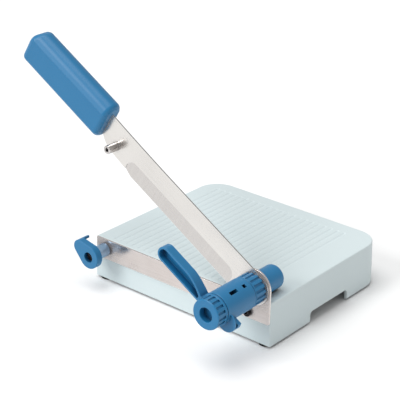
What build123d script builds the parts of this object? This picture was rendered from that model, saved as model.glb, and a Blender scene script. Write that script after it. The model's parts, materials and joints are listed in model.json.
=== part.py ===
from build123d import *
import math
import os

os.makedirs("parts", exist_ok=True)

# Lever slicer with a flat board, a front cutting strip and a pivoted blade.
# Millimetres. Origin on the table under the middle of the board.
# +X runs along the front towards the pivot, +Y to the back, +Z up.

# Board shell, open underneath
base_width = 220.0
base_depth = 189.6
base_height = 45.8
base_wall = 3.0
base_top = 3.2
wall_draft = 2.3
rear_corner_radius = 27.0
front_corner_radius = 1.5
top_edge_radius = 1.2
bottom_edge_radius = 1.6
groove_pitch = 7.9
groove_width = 3.8
groove_depth = 0.6
groove_right_margin = 34.5
groove_left_margin = 19.5
groove_front_margin = 4.8
groove_rear_margin = 15.8
grip_notch_length = 63.0
grip_notch_height = 11.5
grip_notch_radius = 4.0
grip_notch_y = 1.5
rib_thickness = 2.0
rib_height = 13.0
rib_bays = 4

# Feet
foot_radius = 7.2
foot_lift = 1.8
foot_edge_radius = 0.5
foot_stem_radius = 3.0
foot_stem_length = 9.0
foot_front_inset = 7.6
foot_side_inset = 8.2
rear_foot_inset = 14.3
boss_radius = 8.6
boss_height = 16.0
boss_hole_extra = 1.5

# Steel strip on the front, with a round ear at the pivot
plate_thickness = 1.5
plate_drop = 22.0
plate_left_inset = 1.0
plate_corner_radius = 2.0
plate_edge_radius = 0.3
ear_radius = 18.7
ear_root_radius = 3.0

# Pivot axis, running along Y through the ear
pivot_inset = 18.0
pivot_rise = 12.5
spindle_radius = 4.0
spindle_head_radius = 6.5
spindle_head_height = 5.6
spindle_socket_flats = 6.0
spindle_socket_depth = 3.2
bush_radius = 6.0
bush_flange_radius = 8.0
bush_flange_thickness = 1.0
spring_count = 4
spring_radius = 8.6
spring_thickness = 0.7
spring_cone_height = 0.5
cap_radius = 12.1
cap_length = 30.3
cap_end_radius = 3.6
cap_spring_bore = 9.5
nut_flats = 13.0
nut_height = 6.5

# Blade, its outline given along the blade and across it from the pivot axis
blade_thickness = 1.5
blade_gap = 0.3
blade_lift = 30.67
blade_end_radius = 17.2
spine_rise = 16.1
spine_rise_at_grip = 17.8
spine_straight = 125.0
edge_drop = 21.1
edge_start = 24.0
heel_length = 3.0
edge_short_of_post = 21.1
edge_step_length = 8.5
shank_drop = 17.8
shank_end_drop = 16.6
tang_drop = 7.4
tang_height = 13.0
tang_length = 82.0
tang_corner_radius = 3.0
bevel_width = 17.1
bevel_land = 0.35
bevel_end_radius = 9.0
bevel_start_inset = 1.5
bevel_overlap = 9.0
bore_clearance = 0.06

# Grip on the blade
grip_gap = 13.6
grip_length = 116.4
grip_thickness = 24.0
grip_side_low = 6.4
grip_side_high = 18.4
grip_crown = 28.6
grip_shoulder_inset = 1.7
grip_shoulder_height = 3.6
grip_belly = 13.6
grip_crown_end_radius = 18.0
grip_belly_end_radius = 9.0
grip_belly_end_rise = 1.0
grip_end_edge_radius = 6.0
grip_inner_edge_radius = 5.0

# Stud on the blade that the latch catches
stud_past_post = 7.9
stud_drop = 7.1
stud_radius = 4.3
stud_length = 12.7
stud_rivet_radius = 2.5
stud_socket_flats = 4.0
stud_socket_depth = 4.5
stud_edge = 0.5

# Latch at the free end of the strip
post_inset = 13.9
post_below_top = 10.4
post_radius = 7.0
post_length = 18.6
post_neck_clearance = 0.4
post_spigot_radius = 2.5
post_nut_flats = 8.0
post_nut_height = 4.0
post_washer_radius = 5.5
post_washer_thickness = 1.0
latch_washer_thickness = 0.4
latch_washer_radius = 6.4
lever_thickness = 7.2
lever_radius = 12.4
lever_edge_radius = 0.7
lever_hole_radius = 5.5
lever_web = 1.7
lobe_radius = 7.6
lobe_reach = 14.4
lobe_angle = 148.6
lip_thickness = 2.5
lip_length = 8.1
lip_from_angle = 95.0
lip_to_angle = 205.0
latch_screw_radius = 2.5
latch_screw_head_radius = 4.6
latch_screw_head_height = 1.8
latch_screw_depth = 9.0
latch_slot_width = 1.2
latch_slot_depth = 1.1

# Screw that holds the strip under the pivot
plate_screw_inset = 24.0
plate_screw_above_edge = 6.2
plate_screw_radius = 2.0
plate_screw_head_radius = 3.9
plate_screw_head_height = 3.4
plate_screw_head_edge = 0.8
plate_screw_nut_flats = 7.0
plate_screw_nut_height = 3.2

# Thickness stop on the front end of the spindle
thrust_washer_radius = 8.0
thrust_washer_thickness = 0.8
sleeve_radius = 8.5
sleeve_shoulder_radius = 10.2
sleeve_shoulder_thickness = 1.6
sleeve_front_reach = 61.4
plug_thickness = 2.0
plug_edge_radius = 0.4
piston_from = 25.9
piston_length = 8.0
piston_key_width = 3.0
piston_key_height = 0.9
ring_radius = 15.6
ring_length = 15.0
ring_web = 2.0
ring_flutes = 17
ring_flute_width = 3.2
ring_flute_depth = 1.4
ring_flute_front = 1.2
ring_flute_runout = 1.0
ring_edge_radius = 0.7
barrel_radius = 15.9
barrel_length = 39.7
barrel_wall = 1.72
barrel_rear_web = 2.0
barrel_edge_radius = 0.8
skirt_radius = 12.9
skirt_wall = 2.3
skirt_length = 12.2
window_angle = 61.8
window_width = 3.8
window_front = 10.9
window_length = 10.7
rear_window_length = 4.4
window_bridge = 7.9
collet_wall = 1.9
collet_length = 5.5
collet_slit = 1.0
collet_setback = 2.2
knob_radius = 14.95
knob_collar_radius = 15.5
knob_collar_length = 2.8
knob_length = 13.4
knob_flutes = 17
knob_flute_depth = 1.3
knob_flute_width = 2.9
knob_flute_end = 1.1
knob_face_edge_radius = 1.2
knob_hole_radius = 7.2
knob_face_wall = 7.0
knob_neck_length = 1.6
knob_bore_clearance = 0.6
knob_hole_edge = 0.5

# Loop arm and hook on the barrel, along and across the arm from the pivot axis
arm_width = 9.0
arm_setback = 2.7
arm_reach = 78.9
arm_top = 3.4
arm_bottom = 12.4
arm_waist = 5.0
arm_waist_along = 19.0
arm_straight_from = 44.0
arm_rim = 2.0
arm_web = 2.0
arm_flare = 3.0
arm_edge_radius = 0.4
hook_centre_along = 14.3
hook_centre_drop = 2.5
hook_radius = 10.3
hook_tip_rise = 3.9
hook_flange = 1.5
hook_slot_width = 3.1
hook_slot_depth = 3.2

# Clearances
face_gap = 0.1
loose_gap = 0.3
joint_gap = 0.4
overrun = 5.0

# Heights and planes worked out from the sizes above
board_bottom = foot_lift
board_top = foot_lift + base_height
draft_spread = base_height * math.tan(math.radians(wall_draft))
front_plane = -base_depth / 2
plate_front = front_plane - plate_thickness
blade_back = plate_front - blade_gap
blade_front = blade_back - blade_thickness
pivot_x = base_width / 2 - pivot_inset
pivot_z = board_top + pivot_rise
post_x = post_inset - base_width / 2
post_z = board_top - post_below_top
plate_screw_x = base_width / 2 - plate_screw_inset
stud_along = pivot_x - post_x + stud_past_post
edge_end = pivot_x - post_x - edge_short_of_post
grip_start = pivot_x + base_width / 2 + grip_gap
inner_front = front_plane + base_wall
ring_back = blade_front - loose_gap
ring_front = ring_back - ring_length
barrel_back = ring_front - joint_gap
barrel_front = barrel_back - barrel_length
knob_back = barrel_front - joint_gap
knob_front = knob_back - knob_length


def y_tube(radius, y_front, y_back, x=0, z=0, bore=0):
    """A round bar along Y, with a hole where bore is not zero."""
    length = y_back - y_front
    place = Pos(x, (y_front + y_back) / 2, z) * Rot(90, 0, 0)
    bar = place * Cylinder(radius, length)
    if bore:
        bar -= place * Cylinder(bore, length + overrun)
    return bar


def y_prism(face, y_front, y_back):
    """Extrude a face drawn in the XZ plane from y_front back to y_back."""
    return extrude(Pos(0, y_back, 0) * face, amount=y_back - y_front, dir=(0, -1, 0))


def y_hex(flats, y_front, y_back, x=0, z=0):
    """A six-sided bar along Y."""
    face = Plane.XZ * Pos(x, z) * RegularPolygon(flats / 2, 6, major_radius=False)
    return y_prism(face, y_front, y_back)


def at_pivot(shape):
    """Move a shape drawn about the Y axis to the pivot axis."""
    return Pos(pivot_x, 0, pivot_z) * shape


def raised(shape):
    """Turn a shape drawn level to the left of the pivot to the raised pose."""
    return Pos(pivot_x, 0, pivot_z) * Rot(0, blade_lift, 0) * shape


def at_post(shape):
    """Move a shape drawn about the Y axis to the latch post."""
    return Pos(post_x, 0, post_z) * shape


def save(shape, name, color):
    """Colour a sub-part and write it as one file."""
    shape.label = name
    shape.color = Color(*color)
    export_step(shape, "parts/" + name + ".step")


blue = (0.27, 0.53, 0.71)
pale = (0.84, 0.89, 0.90)
steel = (0.80, 0.80, 0.79)
dark_steel = (0.25, 0.25, 0.27)
brass = (0.78, 0.63, 0.33)
rubber = (0.07, 0.07, 0.07)
nylon = (0.92, 0.92, 0.88)


# Board shell

def base_block(inset, height):
    """A drafted block with round rear corners, inset from the outside walls."""
    width = base_width + 2 * (draft_spread - inset)
    depth = base_depth + 2 * (draft_spread - inset)
    outline = Rectangle(width, depth)
    outline = fillet(outline.vertices().group_by(Axis.Y)[-1], rear_corner_radius - inset)
    block = extrude(Pos(0, 0, board_bottom) * outline, amount=height, taper=wall_draft)
    front = front_plane + inset
    keep = Pos(0, front + base_depth, 0) * Box(2 * base_width, 2 * base_depth, 4 * base_height)
    return block & keep


def foot_places():
    """Names and centres of the four feet."""
    front_x = base_width / 2 - foot_side_inset
    rear_x = base_width / 2 - rear_foot_inset
    front_y = front_plane + foot_front_inset
    rear_y = base_depth / 2 - rear_foot_inset
    return {
        "foot_front_left": (-front_x, front_y),
        "foot_front_right": (front_x, front_y),
        "foot_rear_left": (-rear_x, rear_y),
        "foot_rear_right": (rear_x, rear_y),
    }


def make_grooves():
    """The row of shallow round-ended grooves that run from the front to the back."""
    radius = (groove_width ** 2 / 4 + groove_depth ** 2) / (2 * groove_depth)
    front = front_plane + groove_front_margin
    length = base_depth - groove_front_margin - groove_rear_margin + 2 * (radius - groove_width / 2)
    slot = SlotOverall(length, 2 * radius, rotation=90)
    half = slot & Pos(radius, 0) * Rectangle(2 * radius, 2 * length)
    bar = revolve(half, Axis.Y)
    middle = front - radius + groove_width / 2 + length / 2
    last = base_width / 2 - groove_right_margin
    count = 1 + int((base_width - groove_right_margin - groove_left_margin) / groove_pitch)
    height = board_top + radius - groove_depth
    return [Pos(last - index * groove_pitch, middle, height) * bar for index in range(count)]


def make_base():
    shell = base_block(0, base_height)
    corners = shell.edges().filter_by(lambda e: abs(e.center().Y - front_plane) < face_gap)
    corners = corners.filter_by(lambda e: abs(e.center().X) > base_width / 2 - base_wall)
    shell = fillet(corners, front_corner_radius)
    top = shell.faces().sort_by(Axis.Z)[-1]
    shell = fillet(top.edges(), top_edge_radius)
    low = shell.faces().sort_by(Axis.Z)[0]
    shell = fillet(low.edges(), bottom_edge_radius)
    shell -= base_block(base_wall, base_height - base_top)
    roof = board_top - base_top
    inner = base_block(base_wall / 2, base_height - base_top / 2)
    level = roof - rib_height / 2
    bay = base_width / rib_bays
    ribs = [Pos((index - rib_bays / 2) * bay, 0, level)
            * Box(rib_thickness, base_depth, rib_height) for index in range(1, rib_bays)]
    for x, y in foot_places().values():
        ribs.append(Pos(x, y, board_bottom + boss_height / 2) * Cylinder(boss_radius, boss_height))
    for rib in ribs:
        shell += rib & inner
    for x, y in foot_places().values():
        hole = foot_stem_length + boss_hole_extra
        shell -= Pos(x, y, board_bottom + hole / 2) * Cylinder(foot_stem_radius, hole)
    notch = RectangleRounded(grip_notch_length, 2 * grip_notch_height, grip_notch_radius)
    notch = Plane.YZ * Pos(grip_notch_y, board_bottom) * notch
    shell -= extrude(notch, amount=base_width, both=True)
    shell -= make_grooves()
    shell -= y_tube(post_spigot_radius, front_plane - overrun, inner_front + overrun, post_x, post_z)
    shell -= y_tube(plate_screw_radius, front_plane - overrun, inner_front + overrun,
                    plate_screw_x, plate_screw_z)
    return shell


plate_bottom = board_top - plate_drop
plate_screw_z = plate_bottom + plate_screw_above_edge


# Steel strip and its fixings

def make_plate():
    left = -base_width / 2 + plate_left_inset
    right = pivot_x + ear_radius
    strip = Pos((left + right) / 2, (plate_bottom + board_top) / 2) * Rectangle(
        right - left, board_top - plate_bottom)
    neck = Pos(pivot_x + ear_radius / 2, (plate_bottom + pivot_z) / 2) * Rectangle(
        ear_radius, pivot_z - plate_bottom)
    outline = strip + neck + Pos(pivot_x, pivot_z) * Circle(ear_radius)
    root = outline.vertices().filter_by(
        lambda v: abs(v.Y - board_top) < face_gap and 0 < v.X < pivot_x)
    outline = fillet(root, ear_root_radius)
    low = outline.vertices().group_by(Axis.Y)[0]
    outline = fillet(low, plate_corner_radius)
    plate = y_prism(Plane.XZ * outline, plate_front, front_plane)
    plate = fillet(plate.faces().sort_by(Axis.Y)[0].edges(), plate_edge_radius)
    plate -= y_tube(bush_radius, plate_front - overrun, front_plane + overrun, pivot_x, pivot_z)
    plate -= y_tube(post_spigot_radius, plate_front - overrun, front_plane + overrun, post_x, post_z)
    plate -= y_tube(plate_screw_radius, plate_front - overrun, front_plane + overrun,
                    plate_screw_x, plate_screw_z)
    return plate


def make_plate_screw():
    head_front = plate_front - plate_screw_head_height
    end = inner_front + plate_screw_nut_height + plate_screw_radius
    head = y_tube(plate_screw_head_radius, head_front, plate_front, plate_screw_x, plate_screw_z)
    head = fillet(head.edges().group_by(Axis.Y)[0], plate_screw_head_edge)
    screw = head + y_tube(plate_screw_radius, plate_front, end, plate_screw_x, plate_screw_z)
    socket_back = head_front + plate_screw_head_height * 2 / 3
    return screw - y_hex(plate_screw_radius * 3 / 2, head_front - overrun, socket_back,
                         plate_screw_x, plate_screw_z)


def make_plate_screw_nut():
    back = inner_front + plate_screw_nut_height
    nut = y_hex(plate_screw_nut_flats, inner_front, back, plate_screw_x, plate_screw_z)
    return nut - y_tube(plate_screw_radius, inner_front - overrun, back + overrun,
                        plate_screw_x, plate_screw_z)


def make_foot(x, y):
    pad = Pos(0, 0, foot_lift / 2) * Cylinder(foot_radius, foot_lift)
    pad = fillet(pad.edges().group_by(Axis.Z)[0], foot_edge_radius)
    stem = Pos(0, 0, foot_lift + foot_stem_length / 2) * Cylinder(foot_stem_radius, foot_stem_length)
    return Pos(x, y, 0) * (pad + stem)


# Spindle and what it carries behind the ear

sleeve_back = blade_front - face_gap - thrust_washer_thickness - face_gap
sleeve_front = blade_front - sleeve_front_reach
head_seat = sleeve_front + plug_thickness + face_gap + spindle_head_height
spring_seat = front_plane + bush_flange_thickness
spring_step = spring_thickness + spring_cone_height
nut_front = spring_seat + spring_count * spring_step
nut_back = nut_front + nut_height
cap_front = front_plane + loose_gap
cap_back = cap_front + cap_length


def make_bush():
    bush = y_tube(bush_radius, blade_front, front_plane)
    bush += y_tube(bush_flange_radius, front_plane, front_plane + bush_flange_thickness)
    return at_pivot(bush - y_tube(spindle_radius, blade_front - overrun, spring_seat + overrun))


def make_spindle():
    head_front = head_seat - spindle_head_height
    head = y_tube(spindle_head_radius, head_front, head_seat)
    head -= y_hex(spindle_socket_flats, head_front - overrun, head_front + spindle_socket_depth)
    shaft = y_tube(spindle_radius, head_seat, nut_back + spindle_radius / 2)
    return at_pivot(head + shaft)


def make_springs():
    """Disc springs, stacked in turn, that press the blade against the strip."""
    discs = []
    for index in range(spring_count):
        front = spring_seat + index * spring_step
        rim = spring_radius
        eye = spindle_radius
        low, high = (front, front + spring_cone_height)
        if index % 2:
            low, high = high, low
        section = Polyline((eye, high), (rim, low), (rim, low + spring_thickness),
                           (eye, high + spring_thickness), close=True)
        discs.append(at_pivot(revolve(make_face(section), Axis.Y)))
    return Compound(children=discs)


def make_cap_nut():
    nut = y_hex(nut_flats, nut_front, nut_back)
    return at_pivot(nut - y_tube(spindle_radius, nut_front - overrun, nut_back + overrun))


def make_cap():
    cap = y_tube(cap_radius, cap_front, cap_back)
    cap = fillet(cap.edges().group_by(Axis.Y)[-1], cap_end_radius)
    cap -= y_tube(cap_spring_bore, cap_front - overrun, nut_front)
    cap -= y_hex(nut_flats, nut_front - face_gap, nut_back)
    cap -= y_tube(spindle_radius + face_gap, nut_front, nut_back + spindle_radius)
    return at_pivot(cap)


def make_thrust_washer():
    front = sleeve_back + face_gap
    return at_pivot(y_tube(thrust_washer_radius, front, front + thrust_washer_thickness,
                           bore=spindle_radius))


# Blade, grip and stud, drawn level and pointing to -X from the pivot axis

def make_blade_outline():
    """Spine, round pivot end, ground edge, step and narrow shank, then the tang."""
    tip = grip_start + tang_length
    step_end = edge_end + edge_step_length
    curve = grip_start - stud_along
    near = math.sqrt(blade_end_radius ** 2 - spine_rise ** 2)
    rise = spine_rise_at_grip - spine_rise
    middle = (spine_straight + grip_start) / 2
    with BuildSketch() as sketch:
        with BuildLine():
            ThreePointArc((near, spine_rise), (blade_end_radius, 0), (0, -blade_end_radius))
            Polyline(
                (0, -blade_end_radius),
                (-edge_start + heel_length, -blade_end_radius),
                (-edge_start, -edge_drop),
                (-edge_end, -edge_drop),
                (-step_end, -shank_drop),
                (-stud_along, -shank_end_drop))
            Bezier(
                (-stud_along, -shank_end_drop),
                (-stud_along - curve / 2, -shank_end_drop + face_gap),
                (-grip_start + curve / 8, -tang_drop - curve / 6),
                (-grip_start, -tang_drop))
            Polyline(
                (-grip_start, -tang_drop),
                (-tip, -tang_drop),
                (-tip, tang_height),
                (-grip_start - heel_length, tang_height),
                (-grip_start - heel_length, spine_rise_at_grip),
                (-grip_start, spine_rise_at_grip))
            ThreePointArc((-grip_start, spine_rise_at_grip), (-middle, spine_rise + rise / 4),
                          (-spine_straight, spine_rise))
            Line((-spine_straight, spine_rise), (near, spine_rise))
        make_face()
    return sketch.sketch


def make_blade():
    blade = y_prism(Plane.XZ * make_blade_outline(), blade_front, blade_back)
    tang_end = blade.edges().filter_by(Axis.Y).group_by(Axis.X)[0]
    blade = fillet(tang_end, tang_corner_radius)
    fall = blade_thickness - bevel_land
    top = -edge_drop + bevel_width
    wedge = Plane.YZ * make_face(Polyline(
        (blade_front, top), (blade_front + fall, -edge_drop),
        (blade_front + fall, -edge_drop - overrun),
        (blade_front - overrun, -edge_drop - overrun), (blade_front - overrun, top), close=True))
    long_side = edge_end + bevel_overlap
    wedge = extrude(Pos(0, 0, 0) * wedge, amount=long_side, dir=(-1, 0, 0))
    left = -long_side
    right = -edge_start + bevel_start_inset
    height = 2 * bevel_width
    plan = Pos((left + right) / 2, top - height / 2) * RectangleRounded(
        right - left, height, bevel_end_radius)
    limit = y_prism(Plane.XZ * plan, blade_front - 2 * overrun, blade_back + overrun)
    blade -= wedge & limit
    blade -= y_tube(bush_radius + bore_clearance, blade_front - overrun, blade_back + overrun)
    blade -= y_tube(stud_rivet_radius, blade_front - overrun, blade_back + overrun,
                    -stud_along, -stud_drop)
    return raised(blade)


def make_grip():
    """A moulded grip, arched over the top and below, with a rounded far end."""
    half = grip_thickness / 2
    far = grip_start + grip_length
    centre_y = (blade_front + blade_back) / 2
    shoulder = half - grip_shoulder_inset
    shoulder_top = grip_side_high + grip_shoulder_height
    with BuildSketch(Plane.YZ) as section:
        with BuildLine():
            Polyline((-half, -grip_side_low), (-half, grip_side_high), (-shoulder, shoulder_top))
            ThreePointArc((-shoulder, shoulder_top), (0, grip_crown), (shoulder, shoulder_top))
            Polyline((shoulder, shoulder_top), (half, grip_side_high), (half, -grip_side_low))
            ThreePointArc((half, -grip_side_low), (0, -grip_belly), (-half, -grip_side_low))
        make_face()
    body = extrude(section.sketch, amount=far, dir=(-1, 0, 0))
    with BuildSketch() as side:
        with BuildLine():
            Polyline((-far, -grip_belly + grip_belly_end_rise),
                     (-grip_start - grip_thickness, -grip_belly - overrun),
                     (-grip_start, -grip_belly - overrun), (-grip_start, grip_crown + overrun),
                     (-far, grip_crown), close=True)
        make_face()
        outer = side.vertices().group_by(Axis.X)[0].sort_by(Axis.Y)
        fillet(outer[-1], grip_crown_end_radius)
        outer = side.vertices().group_by(Axis.X)[0].sort_by(Axis.Y)
        fillet(outer[0], grip_belly_end_radius)
    body &= y_prism(Plane.XZ * side.sketch, -grip_thickness, grip_thickness)
    zone = -far + grip_crown_end_radius + grip_end_edge_radius / 2
    body = fillet(body.edges().filter_by(lambda e: e.center().X < zone), grip_end_edge_radius)
    body = fillet(body.edges().group_by(Axis.X)[-1], grip_inner_edge_radius)
    return Pos(0, centre_y, 0) * body


def make_grip_with_slot(blade):
    return raised(make_grip()) - blade


def make_stud():
    front = blade_front - stud_length
    stud = y_tube(stud_radius, front, blade_front)
    stud = chamfer(stud.edges().group_by(Axis.Y)[0], stud_edge)
    stud += y_tube(stud_rivet_radius, blade_front, blade_back)
    stud -= y_hex(stud_socket_flats, front - overrun, front + stud_socket_depth)
    return raised(Pos(-stud_along, 0, -stud_drop) * stud)


# Latch

post_front = plate_front - post_length
lever_back = post_front - latch_washer_thickness - face_gap
lever_front = lever_back - lever_thickness
lip_back = lever_back + lip_length
web_front = lever_back - lever_web
screw_head_front = web_front - face_gap - latch_screw_head_height


def make_post():
    """A collar in front of the blade, on a neck that the closed blade comes down to."""
    spigot_back = inner_front + post_washer_thickness + post_nut_height + face_gap
    collar_back = blade_front - post_neck_clearance
    post = y_tube(post_radius, post_front, collar_back)
    post = chamfer(post.edges().group_by(Axis.Y)[0], stud_edge)
    post += y_tube(post_spigot_radius, collar_back, spigot_back)
    post -= y_tube(latch_screw_radius, post_front - overrun, post_front + latch_screw_depth)
    return at_post(post)


def make_post_washer():
    return at_post(y_tube(post_washer_radius, inner_front, inner_front + post_washer_thickness,
                          bore=post_spigot_radius))


def make_post_nut():
    front = inner_front + post_washer_thickness
    nut = y_hex(post_nut_flats, front, front + post_nut_height)
    return at_post(nut - y_tube(post_spigot_radius, front - overrun, front + 2 * overrun))


def make_latch_screw():
    head = y_tube(latch_screw_head_radius, screw_head_front, screw_head_front + latch_screw_head_height)
    slot = Pos(0, screw_head_front, 0) * Box(
        2 * latch_screw_head_radius, 2 * latch_slot_depth, latch_slot_width)
    shank = y_tube(latch_screw_radius, screw_head_front + latch_screw_head_height,
                   post_front + latch_screw_depth)
    return at_post(head - slot + shank)


def make_latch_washer():
    return at_post(y_tube(latch_washer_radius, post_front - latch_washer_thickness, post_front,
                          bore=latch_screw_radius))


def make_lever():
    """A cam-shaped plate with a hooked wall behind its lobe, which goes over the stud."""
    angle = math.radians(lobe_angle)
    lobe_x = lobe_reach * math.cos(angle)
    lobe_z = lobe_reach * math.sin(angle)
    lobe = Pos(lobe_x, lobe_z) * Circle(lobe_radius)
    outline = make_hull((Circle(lever_radius) + lobe).edges())
    body = y_prism(Plane.XZ * outline, lever_front, lever_back)
    rims = body.faces().sort_by(Axis.Y)
    body = fillet(rims[0].edges(), lever_edge_radius)
    wall = Circle(lobe_radius) - Circle(lobe_radius - lip_thickness)
    reach = 2 * lobe_radius
    first, last = math.radians(lip_from_angle), math.radians(lip_to_angle)
    middle = (first + last) / 2
    sector = make_face(Polyline(
        (0, 0), (reach * math.cos(first), reach * math.sin(first)),
        (reach * math.cos(middle), reach * math.sin(middle)),
        (reach * math.cos(last), reach * math.sin(last)), close=True))
    lip = Pos(lobe_x, lobe_z) * (wall & sector)
    body += y_prism(Plane.XZ * lip, lever_back - lever_thickness / 4, lip_back)
    body -= y_tube(lever_hole_radius, lever_front - overrun, web_front)
    body -= y_tube(latch_screw_radius + bore_clearance, lever_front, lever_back + overrun)
    return at_post(body)


# Thickness stop: sleeve, adjusting ring, barrel with arm, collet and knob

piston_back = blade_front - piston_from
piston_front = piston_back - piston_length
barrel_bore = barrel_radius - barrel_wall
piston_radius = barrel_bore - bore_clearance


def make_sleeve():
    sleeve = y_tube(sleeve_radius, sleeve_front, sleeve_back)
    shoulder = ring_back - ring_web - face_gap
    sleeve += y_tube(sleeve_shoulder_radius, shoulder - sleeve_shoulder_thickness, shoulder)
    sleeve += y_tube(piston_radius, piston_front, piston_back)
    key_reach = piston_radius + piston_key_height
    key = Pos(0, (piston_front + piston_back) / 2, -key_reach / 2) * Box(
        piston_key_width, piston_length, key_reach)
    sleeve += key
    sleeve -= y_tube(spindle_radius + bore_clearance, sleeve_front - overrun, sleeve_back + overrun)
    sleeve -= y_tube(spindle_head_radius + loose_gap, sleeve_front - overrun, head_seat + face_gap)
    return at_pivot(sleeve)


def make_plug():
    """A disc in the sleeve's front end that covers the spindle's head."""
    plug = y_tube(spindle_head_radius + loose_gap - bore_clearance, sleeve_front,
                  sleeve_front + plug_thickness)
    return at_pivot(fillet(plug.edges().group_by(Axis.Y)[0], plug_edge_radius))


def flutes(count, radius, width, depth, y_front, y_back):
    """A ring of shallow round-bottomed grooves along a cylinder."""
    cutter_radius = (width ** 2 / 4 + depth ** 2) / (2 * depth)
    cutters = []
    for index in range(count):
        angle = math.radians(window_angle) + index * math.tau / count
        reach = radius + cutter_radius - depth
        cutters.append(y_tube(cutter_radius, y_front, y_back,
                              reach * math.cos(angle), reach * math.sin(angle)))
    return cutters


def make_ring():
    ring = y_tube(ring_radius, ring_front, ring_back)
    ring = fillet(ring.edges(), ring_edge_radius)
    ring -= flutes(ring_flutes, ring_radius, ring_flute_width, ring_flute_depth,
                   ring_front + ring_flute_front, ring_back + ring_flute_runout)
    ring -= y_tube(sleeve_radius + bore_clearance, ring_front - overrun, ring_back + overrun)
    ring -= y_tube(skirt_radius + bore_clearance, ring_front - overrun, ring_back - ring_web)
    return at_pivot(ring)


def arm_outline(inset):
    """The paddle of the arm, level and pointing to -X, its rim inset all round."""
    tip_radius = (arm_top + arm_bottom) / 2 - inset
    centre = (arm_top - arm_bottom) / 2
    round_at = -arm_reach + tip_radius + inset
    top, bottom = arm_top - inset, -arm_bottom + inset
    waist = -arm_waist - inset
    root = -arm_waist_along - inset if inset else 0
    straight = -arm_straight_from
    slope = (arm_straight_from - arm_waist_along) / 3
    with BuildSketch() as sketch:
        with BuildLine():
            Line((root, bottom), (round_at, bottom))
            RadiusArc((round_at, bottom), (round_at, top), tip_radius)
            Line((round_at, top), (straight, top))
            Bezier((straight, top), (straight + slope, top), (straight + 2 * slope, top - slope / 2),
                   (-arm_waist_along - inset, waist))
            if root:
                Line((-arm_waist_along - inset, waist), (root, bottom))
            else:
                Polyline((-arm_waist_along, waist), (root, waist), (root, bottom))
        make_face()
    return sketch.sketch


def make_hook(front, back):
    """The tail on the far side of the barrel: a round flange with a slotted lug behind it."""
    disc = Pos(hook_centre_along, -hook_centre_drop) * Circle(hook_radius)
    tip = hook_tip_rise - hook_centre_drop
    lug = disc & Pos(hook_centre_along, tip - hook_radius) * Rectangle(2 * hook_radius, 2 * hook_radius)
    hook = y_prism(Plane.XZ * disc, front, front + hook_flange) + y_prism(Plane.XZ * lug, front, back)
    slot_back = front + hook_flange + hook_slot_width
    slot = Pos(barrel_radius + hook_radius, tip + hook_radius - hook_slot_depth) * Rectangle(
        2 * hook_radius, 2 * hook_radius)
    return hook - y_prism(Plane.XZ * slot, front + hook_flange, slot_back)


def make_barrel():
    front, back = barrel_front, barrel_back
    barrel = y_tube(barrel_radius, front, back)
    barrel = fillet(barrel.edges(), barrel_edge_radius)
    barrel += y_tube(skirt_radius, back, back + skirt_length)
    arm_front = knob_back + arm_setback
    arm_back = arm_front + arm_width
    arm = y_prism(Plane.XZ * arm_outline(0), arm_front, arm_back + arm_flare)
    plan = make_face(Polyline(
        (0, arm_front), (0, arm_back + arm_flare), (-arm_waist_along, arm_back + arm_flare / 2),
        (-arm_straight_from, arm_back), (-arm_reach, arm_back), (-arm_reach, arm_front), close=True))
    arm &= extrude(plan, amount=barrel_radius, both=True)
    arm = fillet(arm.faces().sort_by(Axis.Y)[0].edges(), arm_edge_radius)
    pocket = y_prism(Plane.XZ * arm_outline(arm_rim), arm_front - overrun,
                     arm_back - arm_web)
    arm += make_hook(arm_front, arm_back)
    barrel += Rot(0, blade_lift, 0) * (arm - pocket)
    cavity_front = front + collet_setback + collet_length
    barrel -= y_tube(skirt_radius - skirt_wall, back - barrel_rear_web - overrun,
                     back + skirt_length + overrun)
    barrel -= y_tube(barrel_bore, cavity_front, back - barrel_rear_web)
    barrel -= y_tube(sleeve_radius + collet_wall, front - overrun, cavity_front + overrun)
    key_reach = piston_radius + piston_key_height + face_gap
    groove_back = back - barrel_rear_web
    groove = Pos(0, (cavity_front + groove_back) / 2, -key_reach / 2) * Box(
        piston_key_width + 2 * face_gap, groove_back - cavity_front, key_reach)
    barrel -= groove
    rear_window = window_front + window_length + window_bridge
    for start, length in ((window_front, window_length), (rear_window, rear_window_length)):
        window = Pos(0, front + start + length / 2, barrel_radius) * Box(
            window_width, length, barrel_radius)
        barrel -= Rot(0, 90 - window_angle, 0) * window
    return at_pivot(barrel)


def make_collet():
    front = barrel_front + collet_setback
    ring = y_tube(sleeve_radius + collet_wall, front, front + collet_length,
                  bore=sleeve_radius + bore_clearance)
    slit = Pos(0, front + collet_length / 2, sleeve_radius) * Box(
        collet_slit, 2 * collet_length, 2 * sleeve_radius)
    return at_pivot(ring - slit)


def make_knob():
    neck = sleeve_radius + collet_wall - bore_clearance
    collar_front = knob_back - knob_collar_length
    knob = y_tube(knob_radius, knob_front, knob_back)
    knob = fillet(knob.edges().group_by(Axis.Y)[0], knob_face_edge_radius)
    collar = y_tube(knob_collar_radius, collar_front, knob_back)
    knob += fillet(collar.edges(), ring_edge_radius)
    knob += y_tube(neck, knob_back, knob_back + knob_neck_length)
    knob -= flutes(knob_flutes, knob_radius, knob_flute_width, knob_flute_depth,
                   knob_front + knob_flute_end, collar_front)
    knob -= y_tube(knob_hole_radius, knob_front - overrun, knob_back + overrun)
    knob -= y_tube(sleeve_radius + knob_bore_clearance, knob_front + knob_face_wall,
                   knob_back + overrun)
    lip = knob.edges().filter_by(GeomType.CIRCLE).filter_by(
        lambda e: abs(e.radius - knob_hole_radius) < face_gap).sort_by(Axis.Y)[0]
    return at_pivot(fillet(lip, knob_hole_edge))


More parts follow.
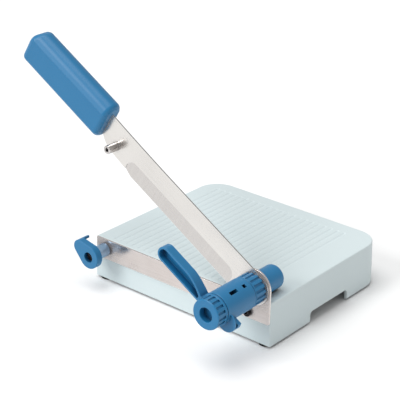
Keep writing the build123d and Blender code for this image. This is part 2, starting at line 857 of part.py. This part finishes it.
save(make_base(), "base_shell", pale)
for foot_name, (foot_x, foot_y) in foot_places().items():
    save(make_foot(foot_x, foot_y), foot_name, rubber)
save(make_plate(), "front_plate", steel)
save(make_plate_screw(), "plate_screw", dark_steel)
save(make_plate_screw_nut(), "plate_screw_nut", dark_steel)
save(make_bush(), "pivot_bush", brass)
save(make_spindle(), "pivot_spindle", steel)
save(make_springs(), "disc_springs", dark_steel)
save(make_cap_nut(), "cap_nut", steel)
save(make_cap(), "rear_cap", blue)
save(make_thrust_washer(), "thrust_washer", nylon)
cutting_blade = make_blade()
save(cutting_blade, "blade", steel)
save(make_grip_with_slot(cutting_blade), "blade_grip", blue)
save(make_stud(), "latch_stud", steel)
save(make_post(), "latch_post", steel)
save(make_post_washer(), "latch_post_washer", steel)
save(make_post_nut(), "latch_post_nut", steel)
save(make_latch_screw(), "latch_screw", dark_steel)
save(make_latch_washer(), "latch_washer", steel)
save(make_lever(), "latch_lever", blue)
save(make_sleeve(), "guide_sleeve", blue)
save(make_plug(), "sleeve_plug", blue)
save(make_ring(), "adjusting_ring", blue)
save(make_barrel(), "stop_barrel", blue)
save(make_collet(), "clamp_collet", nylon)
save(make_knob(), "clamp_knob", blue)
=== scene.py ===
import json
import math
import bpy
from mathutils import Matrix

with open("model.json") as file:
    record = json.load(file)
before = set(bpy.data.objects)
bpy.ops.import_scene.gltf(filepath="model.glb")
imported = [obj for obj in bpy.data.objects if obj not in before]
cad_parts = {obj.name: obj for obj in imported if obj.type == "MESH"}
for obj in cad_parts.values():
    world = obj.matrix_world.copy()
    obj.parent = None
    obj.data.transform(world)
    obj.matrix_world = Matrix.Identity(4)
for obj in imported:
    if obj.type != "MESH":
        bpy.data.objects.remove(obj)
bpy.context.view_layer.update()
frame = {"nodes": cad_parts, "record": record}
nodes = frame["nodes"]
print("frame loaded with", len(nodes), "nodes")

mm = 0.001
pivotPlace = (92 * mm, -98.1 * mm, 60.1 * mm)
bladeLift = math.radians(30.67)  # how far the blade stands up from level
noiseLow, noiseHigh = 0.3, 0.7   # nearly all of a noise lies between these


# an sRGB hex value as the linear colour that the sockets take
def hexColor(value):
    parts = [int(value[i:i + 2], 16) / 255 for i in (0, 2, 4)]
    linear = [p / 12.92 if p <= 0.04045 else ((p + 0.055) / 1.055) ** 2.4 for p in parts]
    return (*linear, 1.0)


# one node with its settings, and the sockets that feed it
def addNode(tree, kind, settings=None, links=None):
    node = tree.nodes.new(kind)
    for key, value in (settings or {}).items():
        if isinstance(key, str) and hasattr(node, key):
            setattr(node, key, value)
        else:
            node.inputs[key].default_value = value
    for key, socket in (links or {}).items():
        tree.links.new(socket, node.inputs[key])
    return node


# an empty node material and its output
def newMaterial(name):
    material = bpy.data.materials.new(name)
    material.use_nodes = True
    material.node_tree.nodes.clear()
    output = material.node_tree.nodes.new("ShaderNodeOutputMaterial")
    return material, material.node_tree, output


# 1 where the ray is of one of these kinds
def rayMask(tree, kinds):
    rays = addNode(tree, "ShaderNodeLightPath")
    mask = rays.outputs[kinds[0]]
    for kind in kinds[1:]:
        mask = addNode(tree, "ShaderNodeMath", {"operation": "MAXIMUM"},
                       {0: mask, 1: rays.outputs[kind]}).outputs["Value"]
    return mask


edgeLook = {"samples": 6, "flat": 0.985, "sharp": 0.90}  # cosines of how far the surface turns
paintedShadeLook = {"samples": 8, "deepest": 0.25}             # share of open sky in a full hollow
# how many finer layers each kind of noise has, and how strong they are
noiseLook = {
    "cloud": {"Detail": 2.0},
    "grain": {"Detail": 3.0, "Roughness": 0.6},
    "scratch": {"Detail": 4.0, "Roughness": 0.65},
    "cross": {"Detail": 3.0},
}


# how far a surface turns within a small radius: 0 on flats, 1 on sharp outer or inner edges
def edgeMask(tree, look):
    rounded = addNode(tree, "ShaderNodeBevel", {
        "samples": edgeLook["samples"], "Radius": look["rubAndHighlightWidth"]})
    plain = addNode(tree, "ShaderNodeNewGeometry")
    turned = addNode(tree, "ShaderNodeVectorMath", {"operation": "DOT_PRODUCT"},
                     {0: rounded.outputs["Normal"], 1: plain.outputs["True Normal"]})
    return addNode(tree, "ShaderNodeMapRange", {
        "From Min": edgeLook["flat"], "From Max": edgeLook["sharp"]},
        {"Value": turned.outputs["Value"]}).outputs["Result"]


# painted shade: how deep in a corner or hollow a point lies, 0 in the open and most where shade gathers;
# the colour laid by it stands in for that shade
def paintedShadeMask(tree, look):
    openness = addNode(tree, "ShaderNodeAmbientOcclusion", {
        "samples": paintedShadeLook["samples"], "Distance": look["paintedShadeReach"]})
    depth = addNode(tree, "ShaderNodeMapRange", {
        "From Min": look["paintedShadeStart"], "From Max": paintedShadeLook["deepest"],
        "To Max": look["paintedShadeShare"]}, {"Value": openness.outputs["AO"]})
    return depth.outputs["Result"]


# a plastic moulding: slow colour drift from the melt, fine spark grain from the mould, edges painted
# paler, partly as rub wear and partly as a painted highlight, and hollows painted a shade darker as
# painted shade
def mouldedPlastic(name, look):
    material, tree, output = newMaterial(name)
    place = addNode(tree, "ShaderNodeTexCoord").outputs["Object"]
    drift = addNode(tree, "ShaderNodeTexNoise", {
        "Scale": 1 / look["driftSize"], **noiseLook["cloud"]}, {"Vector": place})
    colour = addNode(tree, "ShaderNodeMix", {
        "data_type": "RGBA", 6: hexColor(look["color"]), 7: hexColor(look["driftColor"])},
        {0: drift.outputs["Fac"]})
    # painted shade: corners and hollows darken towards the hollow colour, standing in for the shade that
    # falls there
    colour = addNode(tree, "ShaderNodeMix", {"data_type": "RGBA", 7: hexColor(look["paintedShadeColor"])},
                     {0: paintedShadeMask(tree, look), 6: colour.outputs[2]})
    grain = addNode(tree, "ShaderNodeTexNoise", {
        "Scale": 1 / look["grainSize"], **noiseLook["grain"]}, {"Vector": place})
    # paler edges: partly rub wear and partly a painted highlight
    rubAndHighlight = addNode(tree, "ShaderNodeMath", {"operation": "MULTIPLY"},
                  {0: edgeMask(tree, look), 1: grain.outputs["Fac"]})
    # grain is a half on average, so the share is doubled
    rubAndHighlight = addNode(tree, "ShaderNodeMath", {
        "operation": "MULTIPLY", 1: 2 * look["rubAndHighlightShare"]}, {0: rubAndHighlight.outputs["Value"]})
    colour = addNode(tree, "ShaderNodeMix", {"data_type": "RGBA", 7: hexColor(look["rubAndHighlightColor"])},
                     {0: rubAndHighlight.outputs["Value"], 6: colour.outputs[2]})
    shine = addNode(tree, "ShaderNodeMapRange", {
        "From Min": noiseLow, "From Max": noiseHigh,
        "To Min": look["roughness"] - look["shineSpread"],
        "To Max": look["roughness"] + look["shineSpread"]}, {"Value": grain.outputs["Fac"]})
    bump = addNode(tree, "ShaderNodeBump", {
        "Strength": look["grainStrength"], "Distance": look["grainDepth"]},
        {"Height": grain.outputs["Fac"]})
    skin = addNode(tree, "ShaderNodeBsdfPrincipled", {
        "IOR": look["ior"], "Specular IOR Level": look["gloss"]}, {
        "Base Color": colour.outputs[2], "Roughness": shine.outputs["Result"],
        "Normal": bump.outputs["Normal"]})
    tree.links.new(skin.outputs["BSDF"], output.inputs["Surface"])
    return material


# a metal with fine scratches that all run one way, as grinding or brushing leaves them
def brushedMetal(name, look):
    material, tree, output = newMaterial(name)
    place = addNode(tree, "ShaderNodeTexCoord").outputs["Object"]
    turned = addNode(tree, "ShaderNodeMapping", {
        "vector_type": "TEXTURE", "Location": look["centre"], "Rotation": (0, look["turn"], 0),
        "Scale": look["scratchSize"]}, {"Vector": place})
    scratch = addNode(tree, "ShaderNodeTexNoise", {
        "Scale": 1.0, **noiseLook["scratch"]}, {"Vector": turned.outputs["Vector"]})
    cloud = addNode(tree, "ShaderNodeTexNoise", {
        "Scale": 1 / look["cloudSize"], **noiseLook["cloud"]}, {"Vector": place})
    both = addNode(tree, "ShaderNodeMath", {"operation": "MULTIPLY_ADD", 1: look["scratchShare"]},
                   {0: scratch.outputs["Fac"], 2: cloud.outputs["Fac"]})
    level = addNode(tree, "ShaderNodeMapRange", {
        "From Min": noiseLow + noiseLow * look["scratchShare"],
        "From Max": noiseHigh + noiseHigh * look["scratchShare"]}, {"Value": both.outputs["Value"]})
    colour = addNode(tree, "ShaderNodeMix", {
        "data_type": "RGBA", 6: hexColor(look["darkColor"]), 7: hexColor(look["color"])},
        {0: level.outputs["Result"]})
    shine = addNode(tree, "ShaderNodeMapRange", {
        "To Min": look["roughness"] + look["shineSpread"],
        "To Max": look["roughness"] - look["shineSpread"]}, {"Value": level.outputs["Result"]})
    bump = addNode(tree, "ShaderNodeBump", {
        "Strength": look["scratchStrength"], "Distance": look["scratchDepth"]},
        {"Height": scratch.outputs["Fac"]})
    hollow = paintedShadeMask(tree, look)
    # painted shade: a full hollow has none of the metal's mirror and takes the hollow colour, standing
    # in for the shade that falls there
    metalShare = addNode(tree, "ShaderNodeMath", {"operation": "SUBTRACT", 0: 1.0}, {1: hollow})
    skin = addNode(tree, "ShaderNodeBsdfPrincipled", {}, {
        "Base Color": colour.outputs[2], "Metallic": metalShare.outputs["Value"],
        "Roughness": shine.outputs["Result"], "Normal": bump.outputs["Normal"]})
    tree.links.new(skin.outputs["BSDF"], output.inputs["Surface"])
    # painted shade: the hollow colour is laid into corners and hollows
    layColour(material, hollow, look["paintedShadeColor"])
    return material


# lay another colour over a metal where the mask is 1
def layColour(material, mask, color):
    tree = material.node_tree
    skin = next(node for node in tree.nodes if node.type == "BSDF_PRINCIPLED")
    under = skin.inputs["Base Color"].links[0].from_socket
    over = addNode(tree, "ShaderNodeMix", {"data_type": "RGBA", 7: hexColor(color)}, {0: mask, 6: under})
    tree.links.new(over.outputs[2], skin.inputs["Base Color"])


# painted reflection: the long back edge of the blade, facing up, is painted duller and darker than the
# ground faces, standing in for the dark that it reflects
def paintedSpineReflection(material, look):
    tree = material.node_tree
    up = (math.sin(look["turn"]), 0, math.cos(look["turn"]))
    facing = addNode(tree, "ShaderNodeVectorMath", {"operation": "DOT_PRODUCT", 1: up},
                     {0: addNode(tree, "ShaderNodeTexCoord").outputs["Normal"]})
    mask = addNode(tree, "ShaderNodeMapRange", {
        "From Min": look["spineFrom"], "From Max": look["spineTo"]}, {"Value": facing.outputs["Value"]})
    # painted reflection: the back edge is laid over with a grey that stands in for the dark it reflects
    layColour(material, mask.outputs["Result"], look["spineReflectionColor"])


# edges of sheet and bar that were broken with a file or in a tumbler catch the light; that light is a
# painted highlight, laid on as a paler colour
def paintedEdgeHighlights(material, look):
    layColour(material, edgeMask(material.node_tree, look), look["rubAndHighlightColor"])


# the ground band along the cutting edge: a round-cornered patch on the front face, ground across
def groundBand(material, look):
    tree = material.node_tree
    place = addNode(tree, "ShaderNodeTexCoord").outputs["Object"]
    level = addNode(tree, "ShaderNodeMapping", {
        "vector_type": "TEXTURE", "Location": look["centre"], "Rotation": (0, look["turn"], 0)},
        {"Vector": place})
    away = level.outputs["Vector"]
    for operation, value in (("SUBTRACT", look["bandCentre"]), ("ABSOLUTE", None),
                             ("SUBTRACT", look["bandHalf"]), ("MAXIMUM", (0, 0, 0))):
        settings = {"operation": operation} if value is None else {"operation": operation, 1: value}
        away = addNode(tree, "ShaderNodeVectorMath", settings, {0: away}).outputs["Vector"]
    reach = addNode(tree, "ShaderNodeVectorMath", {"operation": "LENGTH"}, {0: away})
    patch = addNode(tree, "ShaderNodeMapRange", {
        "From Min": look["bandCorner"] + look["bandBlur"],
        "From Max": look["bandCorner"] - look["bandBlur"]}, {"Value": reach.outputs["Value"]})
    facing = addNode(tree, "ShaderNodeSeparateXYZ", {},
                     {0: addNode(tree, "ShaderNodeNewGeometry").outputs["True Normal"]})
    front = addNode(tree, "ShaderNodeMath", {
        "operation": "LESS_THAN", 1: look["frontFacing"]}, {0: facing.outputs["Y"]})
    crossed = addNode(tree, "ShaderNodeMapping", {
        "vector_type": "TEXTURE", "Location": look["centre"], "Rotation": (0, look["turn"], 0),
        "Scale": look["crossSize"]}, {"Vector": place})
    cross = addNode(tree, "ShaderNodeTexNoise", {
        "Scale": 1.0, **noiseLook["cross"]}, {"Vector": crossed.outputs["Vector"]})
    share = addNode(tree, "ShaderNodeMapRange", {
        "From Min": noiseLow, "From Max": noiseHigh, "To Min": look["crossLeast"]},
        {"Value": cross.outputs["Fac"]})
    mask = patch.outputs["Result"]
    for factor in (front.outputs["Value"], share.outputs["Result"]):
        mask = addNode(tree, "ShaderNodeMath", {"operation": "MULTIPLY"},
                       {0: mask, 1: factor}).outputs["Value"]
    layColour(material, mask, look["bandColor"])


# in each look, the hollow colour with its reach, start and share sets the painted shade in corners and
# hollows
# in each look, the rub colour paints edges paler: on plastics partly rub wear and partly a painted
# highlight, on metals a painted highlight
# grain and streaks are drawn 0.4 to 1.6 mm wide, which is coarser than real, so that they show
# ABS, moulded: pale blue-grey, even and satin, with a fine grain that dulls the highlight
boardLook = {
    "color": "d8e4e6", "driftColor": "d4e1e3", "driftSize": 60 * mm,
    "grainSize": 0.9 * mm, "grainStrength": 0.10, "grainDepth": 0.06 * mm,
    "roughness": 0.45, "shineSpread": 0.05, "ior": 1.53, "gloss": 0.4,
    "paintedShadeColor": "3c4548", "paintedShadeReach": 3 * mm, "paintedShadeStart": 0.80, "paintedShadeShare": 0.95,
    "rubAndHighlightColor": "f2fafa", "rubAndHighlightWidth": 1.2 * mm, "rubAndHighlightShare": 0.8,
}
# polypropylene, moulded: mid blue and satin, with broad soft highlights, edges painted paler as partly
# rub wear and partly painted highlight, and painted shade in hollows
blueLook = {
    "color": "1f77a9", "driftColor": "1b72a3", "driftSize": 25 * mm,
    "grainSize": 0.7 * mm, "grainStrength": 0.14, "grainDepth": 0.06 * mm,
    "roughness": 0.38, "shineSpread": 0.05, "ior": 1.49, "gloss": 0.5,
    "paintedShadeColor": "0a2f57", "paintedShadeReach": 9 * mm, "paintedShadeStart": 0.80, "paintedShadeShare": 0.95,
    "rubAndHighlightColor": "5a9fc9", "rubAndHighlightWidth": 0.6 * mm, "rubAndHighlightShare": 0.6,
}
# nylon, turned: milky white and dull
nylonLook = {
    "color": "e8e7de", "driftColor": "e2e0d5", "driftSize": 8 * mm,
    "grainSize": 0.4 * mm, "grainStrength": 0.10, "grainDepth": 0.04 * mm,
    "roughness": 0.50, "shineSpread": 0.05, "ior": 1.53, "gloss": 0.4,
    "paintedShadeColor": "a9a79c", "paintedShadeReach": 2 * mm, "paintedShadeStart": 0.80, "paintedShadeShare": 0.5,
    "rubAndHighlightColor": "f4f3ee", "rubAndHighlightWidth": 0.3 * mm, "rubAndHighlightShare": 0.5,
}
# natural rubber, moulded: near black and matt
rubberLook = {
    "color": "1b1b1c", "driftColor": "242425", "driftSize": 6 * mm,
    "grainSize": 0.5 * mm, "grainStrength": 0.25, "grainDepth": 0.08 * mm,
    "roughness": 0.75, "shineSpread": 0.05, "ior": 1.52, "gloss": 0.3,
    "paintedShadeColor": "101011", "paintedShadeReach": 2 * mm, "paintedShadeStart": 0.80, "paintedShadeShare": 0.6,
    "rubAndHighlightColor": "353536", "rubAndHighlightWidth": 0.4 * mm, "rubAndHighlightShare": 0.6,
}
# what the metals share; a pattern is level unless its look says otherwise
metalLook = {"centre": (0, 0, 0), "turn": 0.0, "shineSpread": 0.06, "paintedShadeStart": 0.80}
# stainless steel, ground along the blade: pale and clean; its cutting edge is ground again across, a
# shade darker, and its back edge is painted greyer as a painted reflection of dark surroundings
bladeLook = {
    **metalLook, "centre": pivotPlace, "turn": bladeLift,
    "color": "e4e1dd", "darkColor": "d9d6d2", "cloudSize": 45 * mm, "roughness": 0.25,
    "scratchSize": (90 * mm, 2 * mm, 1.2 * mm), "scratchShare": 0.8,
    "scratchStrength": 0.05, "scratchDepth": 0.03 * mm,
    "spineReflectionColor": "aaa8a6", "spineFrom": 0.7, "spineTo": 0.98,  # cosines; 1 is square on the back edge
    "bandColor": "cbc7c4", "bandCentre": (-99.4 * mm, 0, -21.1 * mm),
    "bandHalf": (67.9 * mm, 1, 8.1 * mm),  # 1 m deep, so its depth never counts
    "bandCorner": 9 * mm, "bandBlur": 0.3 * mm, "frontFacing": -0.9,  # the front looks along -Y
    "crossSize": (1.3 * mm, 2 * mm, 30 * mm), "crossLeast": 0.7,
    "paintedShadeColor": "6f6c6d", "paintedShadeReach": 7 * mm, "paintedShadeShare": 0.6,
    "rubAndHighlightColor": "fbfaf8", "rubAndHighlightWidth": 0.5 * mm,
}
# stainless steel, brushed along the strip: a little duller and warmer than the blade
stripLook = {
    **metalLook, "color": "ddd5d1", "darkColor": "c6bdb8", "cloudSize": 40 * mm, "roughness": 0.25,
    "scratchSize": (70 * mm, 2 * mm, 1.1 * mm), "scratchShare": 0.9,
    "scratchStrength": 0.05, "scratchDepth": 0.03 * mm,
    "paintedShadeColor": "868487", "paintedShadeReach": 26 * mm, "paintedShadeStart": 0.95, "paintedShadeShare": 0.9,
    "rubAndHighlightColor": "fdfbf9", "rubAndHighlightWidth": 0.7 * mm,
}
# steel, turned and polished: bright, with faint rings from the tool; its cool blue tint is a painted
# reflection of the blue lever
postLook = {
    **metalLook, "color": "b5cfe6", "darkColor": "8fb0d2", "cloudSize": 12 * mm, "roughness": 0.30,
    "scratchSize": (9 * mm, 0.8 * mm, 9 * mm), "scratchShare": 0.9,
    "scratchStrength": 0.03, "scratchDepth": 0.02 * mm,
    "paintedShadeColor": "6f8fb0", "paintedShadeReach": 7 * mm, "paintedShadeShare": 0.7,
    "rubAndHighlightColor": "dfe9f3", "rubAndHighlightWidth": 0.5 * mm,
}
# steel, bright zinc plated: the dark and light streaks along the bar are a painted reflection of dark
# and bright surroundings
platedLook = {
    **metalLook, "color": "f1eeec", "darkColor": "5c514c", "cloudSize": 9 * mm, "roughness": 0.20,
    "scratchSize": (1.6 * mm, 26 * mm, 1.6 * mm), "scratchShare": 2.5,
    "scratchStrength": 0.02, "scratchDepth": 0.02 * mm,
    "paintedShadeColor": "2c2626", "paintedShadeReach": 4 * mm, "paintedShadeShare": 0.9,
    "rubAndHighlightColor": "fbf9f8", "rubAndHighlightWidth": 0.4 * mm,
}
# steel, oil blackened: dark, with a soft sheen
darkLook = {
    **metalLook, "color": "343132", "darkColor": "211f20", "cloudSize": 5 * mm, "roughness": 0.38,
    "scratchSize": (5 * mm, 0.8 * mm, 5 * mm), "scratchShare": 0.5,
    "scratchStrength": 0.08, "scratchDepth": 0.03 * mm,
    "paintedShadeColor": "08080a", "paintedShadeReach": 4 * mm, "paintedShadeShare": 0.9,
    "rubAndHighlightColor": "77727a", "rubAndHighlightWidth": 0.3 * mm,
}
# spring steel, hardened: grey-brown from the heat
springLook = {
    **metalLook, "color": "8a8580", "darkColor": "6d6863", "cloudSize": 6 * mm, "roughness": 0.36,
    "scratchSize": (6 * mm, 0.5 * mm, 6 * mm), "scratchShare": 0.6,
    "scratchStrength": 0.10, "scratchDepth": 0.03 * mm,
    "paintedShadeColor": "3a3735", "paintedShadeReach": 2 * mm, "paintedShadeShare": 0.6,
    "rubAndHighlightColor": "b4afa9", "rubAndHighlightWidth": 0.2 * mm,
}
# brass, turned: yellow, with rings from the tool
brassLook = {
    **metalLook, "color": "d9b36a", "darkColor": "bf974c", "cloudSize": 6 * mm, "roughness": 0.26,
    "scratchSize": (8 * mm, 0.4 * mm, 8 * mm), "scratchShare": 0.8,
    "scratchStrength": 0.10, "scratchDepth": 0.03 * mm,
    "paintedShadeColor": "6d5222", "paintedShadeReach": 2 * mm, "paintedShadeShare": 0.6,
    "rubAndHighlightColor": "f0d596", "rubAndHighlightWidth": 0.3 * mm,
}

plasticOf = {
    "moulded_body": ("boardAbs", boardLook),
    "blue_moulding": ("bluePolypropylene", blueLook),
    "foot_rubber": ("blackRubber", rubberLook),
    "white_nylon": ("whiteNylon", nylonLook),
}
metalOf = {
    "blade_steel": ("groundBladeSteel", bladeLook),
    "strip_steel": ("brushedStripSteel", stripLook),
    "polished_steel": ("polishedTurnedSteel", postLook),
    "plated_steel": ("zincPlatedSteel", platedLook),
    "dark_steel": ("blackenedSteel", darkLook),
    "spring_steel": ("hardenedSpringSteel", springLook),
    "bush_brass": ("turnedBrass", brassLook),
}
materialOf = {slot: mouldedPlastic(name, look) for slot, (name, look) in plasticOf.items()}
for slot, (name, look) in metalOf.items():
    metal = brushedMetal(name, look)
    if slot == "blade_steel":
        groundBand(metal, look)
        paintedSpineReflection(metal, look)
    paintedEdgeHighlights(metal, look)
    materialOf[slot] = metal

for row in frame["record"]["subparts"]:
    nodeObject = nodes[row["node"]]
    nodeObject.data.materials.clear()
    nodeObject.data.materials.append(materialOf[row["material_slot"]])
print("materials set on", len(nodes), "nodes")


# white paper on the floor, a shade whiter to the eye than in the light that it gives back
floorLook = {"half": 6.0, "albedo": "eeeeee", "seenAlbedo": "ffffff"}
bpy.ops.object.select_all(action="DESELECT")
bpy.ops.mesh.primitive_plane_add(size=2 * floorLook["half"], location=(0, 0, 0))
floor = bpy.context.object
floor.name = "floor"
floorPaint, tree, output = newMaterial("whitePaperFloor")
white = addNode(tree, "ShaderNodeMix", {
    "data_type": "RGBA", 6: hexColor(floorLook["albedo"]), 7: hexColor(floorLook["seenAlbedo"])},
    {0: rayMask(tree, ("Is Camera Ray", "Is Glossy Ray", "Is Transmission Ray"))})
paper = addNode(tree, "ShaderNodeBsdfDiffuse", {}, {"Color": white.outputs[2]})
tree.links.new(paper.outputs["BSDF"], output.inputs["Surface"])
floor.data.materials.append(floorPaint)

# the backdrop is white where it is seen, and dimmer as a light and in mirrors
skyLook = {"light": 0.46, "mirrored": 0.60, "background": 1.0}
world = bpy.data.worlds.new("studioSky")
bpy.context.scene.world = world
world.use_nodes = True
tree = world.node_tree
tree.nodes.clear()
mirrored = addNode(tree, "ShaderNodeMapRange", {
    "To Min": skyLook["light"], "To Max": skyLook["mirrored"]},
    {"Value": rayMask(tree, ("Is Glossy Ray",))})
strength = addNode(tree, "ShaderNodeMapRange", {"To Max": skyLook["background"]}, {
    "Value": rayMask(tree, ("Is Camera Ray", "Is Transmission Ray")),
    "To Min": mirrored.outputs["Result"]})
sky = addNode(tree, "ShaderNodeBackground", {"Color": (1, 1, 1, 1)},
              {"Strength": strength.outputs["Result"]})
addNode(tree, "ShaderNodeOutputWorld", {}, {"Surface": sky.outputs["Background"]})

# degrees for spread and turn
lampLook = {
    "key": {"energy": 1.25, "spread": 25, "turn": (57, 0, -22)},
    "top": {"energy": 1.35, "spread": 45, "turn": (14, 0, -35)},
}
for lampName, look in lampLook.items():
    lampData = bpy.data.lights.new(lampName, "SUN")
    lampData.energy = look["energy"]
    lampData.angle = math.radians(look["spread"])
    lampObject = bpy.data.objects.new(lampName, lampData)
    lampObject.rotation_euler = [math.radians(a) for a in look["turn"]]
    bpy.context.collection.objects.link(lampObject)

# where the picture was taken from; lens and sensor in mm
cameraLook = {
    "place": (0.7599928, -0.9974134, 0.6560414), "turn": (65.5858, -1.0891, 39.6965),
    "lens": 123.069, "sensor": 36.0,
}
cameraData = bpy.data.cameras.new("photoCamera")
cameraData.lens = cameraLook["lens"]
cameraData.sensor_width = cameraLook["sensor"]
camera = bpy.data.objects.new("photoCamera", cameraData)
camera.location = cameraLook["place"]
camera.rotation_euler = [math.radians(a) for a in cameraLook["turn"]]
bpy.context.collection.objects.link(camera)
bpy.context.scene.camera = camera
bpy.context.scene.view_settings.view_transform = "Standard"
print("floor, lamps and camera set")
